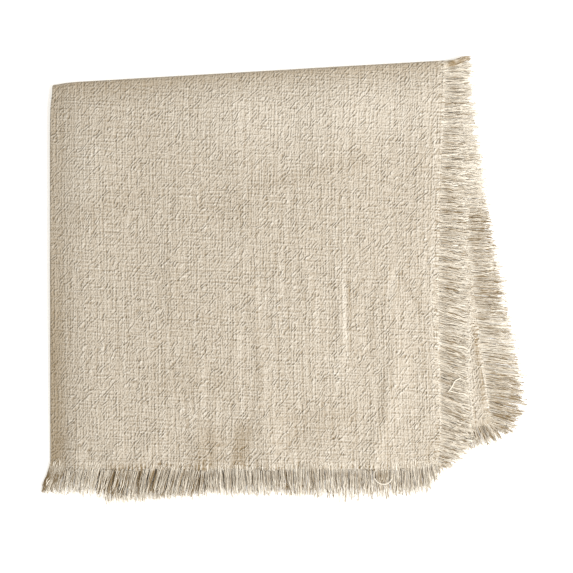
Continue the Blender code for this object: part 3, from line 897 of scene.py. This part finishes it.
def yarn_tree():
    tree = bpy.data.node_groups.new("grow_yarns", "GeometryNodeTree")
    given = add_sockets(tree, [
        ("Geometry", "Geometry", None), ("Steps", "Int", YARN_STEPS), ("Sides", "Int", YARN_SIDES),
        ("Tip share", "Float", TIP_SHARE), ("Wave size", "Float", WAVE_SIZE),
        ("Material", "Material", None)], [("Geometry", "Geometry")])

    line = add_node(tree, "GeometryNodeCurvePrimitiveLine", {"Start": (0, 0, 0), "End": (0, 0, 1)})
    stepped = add_node(tree, "GeometryNodeResampleCurve",
                       {"Curve": line.outputs[0], "Count": given["Steps"]})
    share = add_node(tree, "GeometryNodeSplineParameter").outputs["Factor"]
    marked = add_node(tree, "GeometryNodeStoreNamedAttribute",
                      {"Geometry": stepped.outputs[0], "Name": "share", "Value": share})
    taper = add_node(tree, "ShaderNodeMapRange",
                     {"Value": share, "To Min": 1.0, "To Max": given["Tip share"]})
    thinning = add_node(tree, "GeometryNodeSetCurveRadius",
                        {"Curve": marked.outputs[0], "Radius": taper.outputs["Result"]})
    outline = add_node(tree, "GeometryNodeCurvePrimitiveCircle",
                       {"Resolution": given["Sides"], "Radius": 1.0})
    strand = add_node(tree, "GeometryNodeCurveToMesh",
                      {"Curve": thinning.outputs[0], "Profile Curve": outline.outputs[0],
                       "Fill Caps": True})

    aim = named_value(tree, "aim", "FLOAT_VECTOR")
    radius = named_value(tree, "radius")
    turned = add_node(tree, "FunctionNodeAlignRotationToVector", {"Vector": aim}, axis="Z")
    size = add_node(tree, "ShaderNodeCombineXYZ",
                    {"X": radius, "Y": radius, "Z": vector_math(tree, "LENGTH", aim)})
    copies = add_node(tree, "GeometryNodeInstanceOnPoints",
                      {"Points": given["Geometry"], "Instance": strand.outputs[0],
                       "Rotation": turned.outputs[0], "Scale": size.outputs[0]})
    real = add_node(tree, "GeometryNodeRealizeInstances", {"Geometry": copies.outputs[0]})

    place = add_node(tree, "GeometryNodeInputPosition").outputs[0]
    own = add_node(tree, "ShaderNodeCombineXYZ", {"Z": named_value(tree, "own_way")}).outputs[0]
    waves = scaled(tree, place, math_node(tree, "DIVIDE", 1.0, given["Wave size"]))
    wave = add_node(tree, "ShaderNodeTexNoise", {"Vector": vector_math(tree, "ADD", waves, own),
                                                 "Scale": 1.0, "Detail": 2.0}).outputs["Color"]
    centred = vector_math(tree, "SUBTRACT", wave, (0.5, 0.5, 0.5))
    sideways = vector_math(tree, "MULTIPLY", centred, LESS_UP_AND_DOWN)
    far = math_node(tree, "MULTIPLY", named_value(tree, "wander"), named_value(tree, "share"))
    moved = add_node(tree, "GeometryNodeSetPosition",
                     {"Geometry": real.outputs[0], "Offset": scaled(tree, sideways, far)})
    smooth = add_node(tree, "GeometryNodeSetShadeSmooth", {"Geometry": moved.outputs[0]})
    finished = add_node(tree, "GeometryNodeSetMaterial",
                        {"Geometry": smooth.outputs[0], "Material": given["Material"]})
    return end_group(tree, finished.outputs[0])


grow_yarns = yarn_tree()
print("tree with", len(grow_yarns.nodes), "nodes")

# %% [markdown]
# ## Weave, shared by both finishes
#
# Linen is a plain weave of uneven yarns. Its pattern is made in three groups of nodes that read a flat place
# in millimetres: the weave itself, the long thick and thin stretches of the yarns, which show as streaks up
# and across, and the crinkle, short slanting ripples that washing leaves. Each group puts out heights and
# masks only. The shader stays in the material.

# %% Group: streaks of uneven yarn
STREAK_STEP = 0.8
STREAKS_UP = (1.0, 16.0)
STREAKS_ACROSS = (10.0, 1.0)


def new_group(name, inputs, outputs):
    """An empty shader node group and its inputs."""
    tree = bpy.data.node_groups.new(name, "ShaderNodeTree")
    return tree, add_sockets(tree, inputs, [(output, "Float") for output in outputs])


def stretched_noise(tree, place, size_x, size_y, detail=2.0, layer=0.0):
    """Noise whose marks are about this many millimetres wide and tall. Every layer has its own."""
    squeezed = vector_math(tree, "MULTIPLY", place, (1 / size_x, 1 / size_y, 0.0))
    layered = vector_math(tree, "ADD", squeezed,
                          add_node(tree, "ShaderNodeCombineXYZ", {"Z": layer}).outputs[0])
    return add_node(tree, "ShaderNodeTexNoise",
                    {"Vector": layered, "Scale": 1.0, "Detail": detail}).outputs[0]


def streak_group():
    """A streak is the step from a noise to the same a little further on, so that no broad blotches stay."""
    tree, given = new_group("yarn_streaks", [("Place", "Vector", None), ("Width", "Float", 1.0)],
                            ["Up", "Across"])
    place = scaled(tree, given["Place"], math_node(tree, "DIVIDE", 1.0, given["Width"]))

    def steps(further, size, layer):
        beside = vector_math(tree, "ADD", place, further)
        return math_node(tree, "SUBTRACT", stretched_noise(tree, place, *size, layer=layer),
                         stretched_noise(tree, beside, *size, layer=layer))

    return end_group(tree, steps((STREAK_STEP, 0.0, 0.0), STREAKS_UP, 3.0),
                     steps((0.0, STREAK_STEP, 0.0), STREAKS_ACROSS, 9.0))


streaks = streak_group()
print(streaks.name, "has", len(streaks.nodes), "nodes")


# %% Group: the weave
# A yarn's height is what it gains on top of another times its share there, and what it has beneath one.
YARN_DRIFT = 3.0
OVER_STEEPNESS = 1.2
UP_YARN_HEIGHT = (0.5, 0.3)
ACROSS_YARN_HEIGHT = (0.65, 0.4)


def weave_group():
    tree, given = new_group("plain_weave", [("Place", "Vector", None), ("Pitch", "Float", 0.9)], ["Height"])
    drift = add_node(tree, "ShaderNodeCombineXYZ", {
        "X": stretched_noise(tree, given["Place"], 2.4, 60.0, layer=1.0),
        "Y": stretched_noise(tree, given["Place"], 60.0, 2.2, layer=5.0)}).outputs[0]
    uneven = vector_math(tree, "ADD", given["Place"], scaled(tree, drift, YARN_DRIFT))
    turns = scaled(tree, uneven, math_node(tree, "DIVIDE", math.pi, given["Pitch"]))
    parts = add_node(tree, "ShaderNodeSeparateXYZ", {"Vector": turns})
    wave_x = math_node(tree, "SINE", parts.outputs["X"])
    wave_y = math_node(tree, "SINE", parts.outputs["Y"])
    over = math_node(tree, "MULTIPLY_ADD", math_node(tree, "MULTIPLY", wave_x, wave_y),
                     OVER_STEEPNESS, 0.5, clamp=True)
    under = math_node(tree, "SUBTRACT", 1.0, over)
    up = math_node(tree, "MULTIPLY", math_node(tree, "ABSOLUTE", wave_x),
                   math_node(tree, "MULTIPLY_ADD", over, *UP_YARN_HEIGHT))
    across = math_node(tree, "MULTIPLY", math_node(tree, "ABSOLUTE", wave_y),
                       math_node(tree, "MULTIPLY_ADD", under, *ACROSS_YARN_HEIGHT))
    return end_group(tree, math_node(tree, "MAXIMUM", up, across))


weave = weave_group()
print(weave.name, "has", len(weave.nodes), "nodes")


# %% Group: slanting crinkle
SWERVE_SIZE = (6.0, 3.0)
SWERVE = 14.0
RIPPLE_SIZE = (4.2, 3.0)
RIPPLE_FADE = (0.42, 0.60)
CLUSTER_SIZE = (9.0, 9.0)
CLUSTER_FADE = 0.2
UNCOVERED = 0.68
PER_COVER = 0.4


def smooth_mask(tree, value, low, high, least=0.0):
    return add_node(tree, "ShaderNodeMapRange",
                    {"Value": value, "From Min": low, "From Max": high, "To Min": least},
                    interpolation_type="SMOOTHSTEP").outputs[0]


def crinkle_group():
    tree, given = new_group("crinkle", [("Place", "Vector", None), ("Lean", "Float", 1.0),
                                        ("Width", "Float", 1.8), ("Cover", "Float", 0.5),
                                        ("Least", "Float", 0.3), ("Layer", "Float", 0.0)], ["Height"])
    back_turn = math_node(tree, "MULTIPLY", given["Lean"], -1.0)
    turned = add_node(tree, "ShaderNodeVectorRotate", {"Vector": given["Place"], "Angle": back_turn},
                      rotation_type="Z_AXIS").outputs[0]
    layer = given["Layer"]
    across = add_node(tree, "ShaderNodeSeparateXYZ", {"Vector": turned}).outputs["Y"]
    swerve = math_node(tree, "MULTIPLY", stretched_noise(tree, turned, *SWERVE_SIZE, 1.0, layer), SWERVE)
    turns = math_node(tree, "DIVIDE", math_node(tree, "MULTIPLY", across, 2 * math.pi), given["Width"])
    ripple = math_node(tree, "SINE", math_node(tree, "ADD", turns, swerve))
    stroke = smooth_mask(tree, stretched_noise(tree, turned, *RIPPLE_SIZE, 0.0, layer), *RIPPLE_FADE)
    low = math_node(tree, "SUBTRACT", UNCOVERED, math_node(tree, "MULTIPLY", given["Cover"], PER_COVER))
    cluster = smooth_mask(tree, stretched_noise(tree, given["Place"], *CLUSTER_SIZE, 2.0, layer), low,
                          math_node(tree, "ADD", low, CLUSTER_FADE), given["Least"])
    broken = math_node(tree, "MULTIPLY", ripple, stroke)
    return end_group(tree, math_node(tree, "MULTIPLY", broken, cluster))


crinkle = crinkle_group()
print(crinkle.name, "has", len(crinkle.nodes), "nodes")

# %% [markdown]
# ## The cloth's finish
#
# The colour is that of undyed linen: warm grey-beige yarn. Painted shade darkens the hollows between yarns
# and the bands along the folds, and painted light brightens the crests of the crinkle. The place is the flat
# UV map in millimetres, with the cross yarns a little off square, as they are in a cloth that has been
# washed. Height goes to a Bump node, and a shift in colour to Base Color.

# %% The cloth's material
WEFT_SKEW = math.tan(math.radians(2.25))
LINEN_DARK = (0.238, 0.170, 0.090, 1.0)
LINEN_LIGHT = (0.758, 0.714, 0.640, 1.0)
# Painted shade: the brown that the colour turns towards along the folds, and how far.
LINEN_PAINTED_FOLD_SHADE = (0.268, 0.194, 0.102, 1.0)
PAINTED_FOLD_SHADE_SHARE = 0.55
LINEN_SURFACE = {"Roughness": 0.88, "Specular IOR Level": 0.15,
                 "Sheen Weight": 0.12, "Sheen Roughness": 0.45}
EDGE_THREADS = (0.0012, 0.0007), (0.0046, 0.0011)
EDGE_SHARE_BENEATH = 0.2
LOOSE_FROM_HEM = 0.0055
LOOSE_FROM_SIDE = 0.0050
WHOLLY_LOOSE = 0.0005


def new_material(name):
    material = bpy.data.materials.new(name)
    material.use_nodes = True
    tree = material.node_tree
    shader = tree.nodes["Principled BSDF"]
    feed(tree, shader, LINEN_SURFACE)
    return material, tree, shader


def place_group(tree, group, values):
    return add_node(tree, "ShaderNodeGroup", values, node_tree=group).outputs


def mix_colours(tree, share, low, high):
    made = add_node(tree, "ShaderNodeMix", {"Factor": share, "A": low, "B": high}, data_type="RGBA")
    return made.outputs["Result"]


def carried(tree, name):
    """A value that the mesh carries."""
    return add_node(tree, "ShaderNodeAttribute", attribute_name=name).outputs["Fac"]


def flat_parts(tree, per_metre=1.0):
    """How far across and up a place is on the flat cloth, in metres or in parts of one."""
    flat = add_node(tree, "ShaderNodeUVMap", uv_map="flat_cloth").outputs[0]
    return add_node(tree, "ShaderNodeSeparateXYZ", {"Vector": scaled(tree, flat, per_metre)}).outputs


def flat_place(tree):
    """The flat cloth's millimetres, with the cross yarns skewed."""
    parts = flat_parts(tree, 1 / MILLIMETRE)
    skewed = math_node(tree, "MULTIPLY_ADD", parts["X"], WEFT_SKEW, parts["Y"])
    return add_node(tree, "ShaderNodeCombineXYZ", {"X": parts["X"], "Y": skewed}).outputs[0]


def weighted_sum(tree, terms, total=0.0):
    """Adds (socket, middle, weight) terms, each of them counted from its middle."""
    for socket, middle, weight in terms:
        off = math_node(tree, "SUBTRACT", socket, middle)
        total = math_node(tree, "MULTIPLY_ADD", off, weight, total)
    return total


def edge_threads(tree):
    """The last two groups of tight threads along the sides stand out lighter, most of all in the face."""
    across = flat_parts(tree)["X"]
    inside = math_node(tree, "SUBTRACT", HALF_WIDTH, math_node(tree, "ABSOLUTE", across))
    total = 0.0
    for place, half_width in EDGE_THREADS:
        off = math_node(tree, "ABSOLUTE", math_node(tree, "SUBTRACT", inside, place))
        total = math_node(tree, "ADD", total, smooth_mask(tree, off, half_width, 0.0))
    in_face = math_node(tree, "GREATER_THAN", across, 0.0)
    share = math_node(tree, "MULTIPLY_ADD", in_face, 1 - EDGE_SHARE_BENEATH, EDGE_SHARE_BENEATH)
    return math_node(tree, "MULTIPLY", total, share)


def loosened(tree, streaks_up, streaks_across):
    """Towards the fringe the threads slip apart, so the streaks that run into it are stronger there."""
    parts = flat_parts(tree)
    from_back = math_node(tree, "SUBTRACT", LENGTH, parts["Y"])
    from_hem = math_node(tree, "MINIMUM", parts["Y"], from_back)
    from_side = math_node(tree, "SUBTRACT", HALF_WIDTH, math_node(tree, "ABSOLUTE", parts["X"]))
    at_hem = smooth_mask(tree, from_hem, LOOSE_FROM_HEM, WHOLLY_LOOSE)
    at_side = smooth_mask(tree, from_side, LOOSE_FROM_SIDE, WHOLLY_LOOSE)
    return math_node(tree, "ADD", math_node(tree, "MULTIPLY", at_hem, streaks_up),
                     math_node(tree, "MULTIPLY", at_side, streaks_across))


def cloth_material():
    """Heights are in millimetres. The tone follows the height, so painted shade darkens the hollows and
    painted light brightens the yarns that lie on top and the crests of the rising crinkle.
    """
    material, tree, shader = new_material("linen_cloth")
    place = flat_place(tree)
    woven = place_group(tree, weave, {"Place": place, "Pitch": 1.65})["Height"]
    fine = place_group(tree, streaks, {"Place": place, "Width": 1.0})
    broad = place_group(tree, streaks, {"Place": place, "Width": 2.6})
    rising = place_group(tree, crinkle, {"Place": place, "Lean": math.radians(50), "Width": 1.74,
                                         "Cover": 0.66, "Least": 0.55})["Height"]
    falling = place_group(tree, crinkle, {"Place": place, "Lean": math.radians(-50), "Width": 2.0,
                                          "Cover": 0.28, "Least": 0.15, "Layer": 4.0})["Height"]
    grain = stretched_noise(tree, place, 0.95, 0.95, detail=0.0, layer=13.0)
    height = weighted_sum(tree, [(woven, 0.58, 0.20), (fine["Up"], 0.0, 0.55), (fine["Across"], 0.0, 0.42),
                                 (rising, 0.0, 0.285), (falling, 0.0, 0.15), (grain, 0.5, 0.72)])
    bump = add_node(tree, "ShaderNodeBump", {"Height": height, "Strength": 1.0, "Distance": MILLIMETRE})
    # Painted shade and painted light: the height and rising terms darken the hollows and lighten the crests.
    tone = weighted_sum(tree, [(height, 0.0, 0.36), (rising, 0.0, 0.10), (fine["Up"], 0.0, 0.22),
                               (fine["Across"], 0.0, 0.32), (broad["Up"], 0.0, 0.22),
                               (broad["Across"], 0.0, 0.08), (carried(tree, "faded_and_painted_light"), 0.0, 1.0),
                               (edge_threads(tree), 0.0, 0.09),
                               (loosened(tree, fine["Up"], fine["Across"]), 0.0, 1.2)], total=0.5)
    woven_colour = mix_colours(tree, tone, LINEN_DARK, LINEN_LIGHT)
    # Painted shade: along the folds the colour is mixed towards a darker brown.
    painted_fold_shade = math_node(tree, "MULTIPLY", carried(tree, "painted_fold_shade"), PAINTED_FOLD_SHADE_SHARE)
    feed(tree, shader, {"Base Color": mix_colours(tree, painted_fold_shade, woven_colour, LINEN_PAINTED_FOLD_SHADE),
                        "Normal": bump.outputs[0]})
    return material


cloth.data.materials.append(cloth_material())
print("cloth material with", len(cloth.data.materials[0].node_tree.nodes), "nodes")

# %% [markdown]
# ## The yarns' finish
#
# A yarn leaves the cloth in the cloth's colour. It looks darkest a little before its middle, where yarns
# shade each other, and its frayed tip is nearly white. The strands carry their share of the way from root to
# tip and a tone for each, so the colour runs along every yarn and differs from one to the next.

# %% The yarns' material
YARN_DARK = (0.260, 0.184, 0.096, 1.0)
YARN_LIGHT = (0.90, 0.842, 0.740, 1.0)
DARKEST_AT = 0.42
ROOT_FADE = 8.0
OWN_TONE_AT_ROOT = 0.55
OWN_TONE_GAIN = 0.7
PATCH_SCALE = 260.0
TWIST_SCALE = 2600.0
TWIST_DEPTH = 0.0001


def yarn_material():
    material, tree, shader = new_material("linen_yarn")
    where = add_node(tree, "ShaderNodeTexCoord").outputs["Object"]
    patches, twist = (
        add_node(tree, "ShaderNodeTexNoise", {"Vector": where, "Scale": scale, "Detail": detail}).outputs[0]
        for scale, detail in ((PATCH_SCALE, 2.0), (TWIST_SCALE, 1.0)))
    share = carried(tree, "share")
    # Painted shade: the yarn is darkest a little before its middle, where the yarns shade each other.
    from_middle = math_node(tree, "SUBTRACT", share, DARKEST_AT)
    at_both_ends = math_node(tree, "MULTIPLY", from_middle, from_middle)
    # Painted light: near the root the yarn is lifted towards the cloth's colour, against the cloth edge's
    # shade.
    near_root = math_node(tree, "POWER", math_node(tree, "SUBTRACT", 1.0, share), ROOT_FADE)
    own_tone = math_node(tree, "SUBTRACT", carried(tree, "tone"), 0.5)
    growing = math_node(tree, "MULTIPLY_ADD", share, OWN_TONE_GAIN, OWN_TONE_AT_ROOT)
    more_at_tip = math_node(tree, "MULTIPLY", own_tone, growing)
    tone = weighted_sum(tree, [(at_both_ends, 0.0, 1.15), (near_root, 0.0, 0.30), (more_at_tip, 0.0, 0.95),
                               (patches, 0.5, 0.8), (twist, 0.5, 0.4)], total=0.375)
    bump = add_node(tree, "ShaderNodeBump", {"Height": twist, "Strength": 0.6, "Distance": TWIST_DEPTH})
    feed(tree, shader, {"Base Color": mix_colours(tree, tone, YARN_DARK, YARN_LIGHT),
                        "Normal": bump.outputs[0]})
    return material


linen_yarn = yarn_material()
print("yarn material with", len(linen_yarn.node_tree.nodes), "nodes")


# %% Grow each side's yarns and make them plain meshes
SQUEEZE = 0.05


def kept_off_the_floor(mesh):
    """Yarns that hang below the underside are pressed flat there, as they are on a table."""
    places = np.empty(len(mesh.vertices) * 3)
    mesh.vertices.foreach_get("co", places)
    heights = places[2::3]
    heights[heights < 0] *= SQUEEZE
    mesh.vertices.foreach_set("co", places)


def grown(side):
    """The side's yarns as a plain mesh: the tree is run on the roots, and its result is kept."""
    seeds = new_piece(side.piece + "_seeds", roots[side.piece])
    growing = seeds.modifiers.new("growing", "NODES")
    growing.node_group = grow_yarns
    sockets = {item.name: item.identifier for item in grow_yarns.interface.items_tree
               if item.in_out == "INPUT"}
    growing[sockets["Steps"]] = YARN_STEPS
    growing[sockets["Material"]] = linen_yarn
    graph = bpy.context.evaluated_depsgraph_get()
    mesh = bpy.data.meshes.new_from_object(seeds.evaluated_get(graph))
    mesh.name = side.piece
    kept_off_the_floor(mesh)
    bpy.data.objects.remove(seeds, do_unlink=True)
    return new_piece(side.piece, mesh)


yarns = {side.solid: grown(side) for side in SIDES}
for solid, piece in yarns.items():
    print(piece.name, len(piece.data.polygons), "faces")

# %% [markdown]
# ## A few yarns that came loose
#
# One pulled yarn lies in a loop on the hem's fringe, and two lie across the side's. Each is a thin tube along
# a curve through a few places of the flat panel, just above the fringe.

# %% Loose yarns
LOOSE_YARNS = (
    ((0.1770, -0.0046), (0.1788, -0.0068), (0.1820, -0.0077), (0.1848, -0.0068), (0.1866, -0.0046)),
    ((0.2188, 0.0424), (0.2210, 0.0452), (0.2232, 0.0486), (0.2262, 0.0500)),
    ((0.2196, 0.0430), (0.2236, 0.0420), (0.2275, 0.0412), (0.2302, 0.0396)),
)
LOOSE_RADIUS = 0.00023
LOOSE_LIFT = 0.0011
LOOSE_LOOKS = {"share": 0.7, "tone": 1.0}


def loose_mesh():
    curve = bpy.data.curves.new("loose_yarns", "CURVE")
    curve.dimensions = "3D"
    curve.bevel_depth = LOOSE_RADIUS
    curve.bevel_resolution = 1
    curve.resolution_u = 5
    curve.use_fill_caps = True
    for places in LOOSE_YARNS:
        flat = np.array(places)
        path = lay(flat[:, 0], flat[:, 1], bumpy=False)
        path[:, 2] += LOOSE_LIFT
        spline = curve.splines.new("BEZIER")
        spline.bezier_points.add(len(path) - 1)
        for point, place in zip(spline.bezier_points, path):
            point.co = place
            point.handle_left_type = point.handle_right_type = "AUTO"
    drawn = new_piece("loose_yarn_curves", curve)
    mesh = bpy.data.meshes.new_from_object(drawn.evaluated_get(bpy.context.evaluated_depsgraph_get()))
    bpy.data.objects.remove(drawn, do_unlink=True)
    for name, value in LOOSE_LOOKS.items():
        values = [value] * len(mesh.vertices)
        mesh.attributes.new(name, "FLOAT", "POINT").data.foreach_set("value", values)
    mesh.shade_smooth()
    mesh.materials.clear()
    mesh.materials.append(linen_yarn)
    return mesh


loose_yarns = new_piece("loose_yarns", loose_mesh())
print("loose yarns:", len(loose_yarns.data.polygons), "faces")

# %% [markdown]
# ## Which piece stands for which solid
#
# The cloth and the yarns ride on the napkin's one body and take the place of its solids. The cloth is a
# sheet, and its flat size is that of the panel inside the fringe.

# %% Tie the pieces to the frame
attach(cloth, "root")
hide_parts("cloth")
for solid, piece in yarns.items():
    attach(piece, "root")
    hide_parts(solid)
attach(loose_yarns, "root")
print("tied to the napkin:", cloth.name, "and", len(yarns) + 1, "pieces of yarn")

# %% [markdown]
# ## Floor, light and camera
#
# The napkin is seen straight from above on a white ground. A broad light from the lower right, with the shade
# painted into the cloth's colour, turns the left and top folds a little darker, and the soft light all round
# keeps the hollows open.

# %% The floor
# It glows a little, like a lit white table, so that hardly any shadow shows on it.
FLOOR_SIZE = 16.0
FLOOR_DROP = 0.0002
PAPER = {"Base Color": (0.93, 0.93, 0.93, 1.0), "Roughness": 0.9, "Emission Strength": 0.35}

bm = bmesh.new()
bmesh.ops.create_grid(bm, x_segments=1, y_segments=1, size=FLOOR_SIZE / 2)
floor_mesh = bpy.data.meshes.new("floor")
bm.to_mesh(floor_mesh)
bm.free()
floor = new_piece("floor", floor_mesh)
floor.location.z = -FLOOR_DROP
paper = bpy.data.materials.new("white_paper")
paper.use_nodes = True
feed(paper.node_tree, paper.node_tree.nodes["Principled BSDF"], PAPER)
floor.data.materials.append(paper)
print("floor", FLOOR_SIZE, "m wide")


# %% The lights
KEY_PLACE = (0.61, -0.20, 0.66)
KEY_SIZE = 0.5
KEY_POWER = 10.1
STUDIO = {"Color": (1.0, 0.96, 0.88, 1.0), "Strength": 0.75}


def area_light(name, place, size, power):
    """A square light that looks at the napkin."""
    lamp = bpy.data.lights.new(name, "AREA")
    lamp.shape = "SQUARE"
    lamp.size = size
    lamp.energy = power
    made = bpy.data.objects.new(name, lamp)
    bpy.context.scene.collection.objects.link(made)
    made.location = place
    made.rotation_euler = (-Vector(place)).to_track_quat("-Z", "Y").to_euler()
    return made


area_light("key_light", KEY_PLACE, KEY_SIZE, KEY_POWER)
world = bpy.data.worlds.new("studio")
bpy.context.scene.world = world
world.use_nodes = True
feed(world.node_tree, world.node_tree.nodes["Background"], STUDIO)
bpy.context.scene.view_settings.view_transform = "Standard"
print("key light of", KEY_POWER, "W and", STUDIO["Strength"], "from all round")

# %% The camera
PHOTO_WIDTH = 573
METRES_PER_PIXEL = 0.000543
LEFT_FOLD_PIXEL = 51.7
HEM_PIXEL = 470.0
LENS = 85.0
SENSOR = 36.0
FACE_HEIGHT = 0.005


def photo_to_frame(pixel_x, pixel_y):
    """Where a pixel of the photo lies on the table."""
    return ((pixel_x - LEFT_FOLD_PIXEL) * METRES_PER_PIXEL + SHIFT[0],
            (HEM_PIXEL - pixel_y) * METRES_PER_PIXEL + SHIFT[1])


eye = bpy.data.objects.new("photo_camera", bpy.data.cameras.new("photo_camera"))
bpy.context.scene.collection.objects.link(eye)
eye.data.lens = LENS
eye.data.sensor_width = SENSOR
eye.location = (*photo_to_frame(PHOTO_WIDTH / 2, PHOTO_WIDTH / 2),
                FACE_HEIGHT + PHOTO_WIDTH * METRES_PER_PIXEL * LENS / SENSOR)
bpy.context.scene.camera = eye
print("camera", [round(value, 3) for value in eye.location])
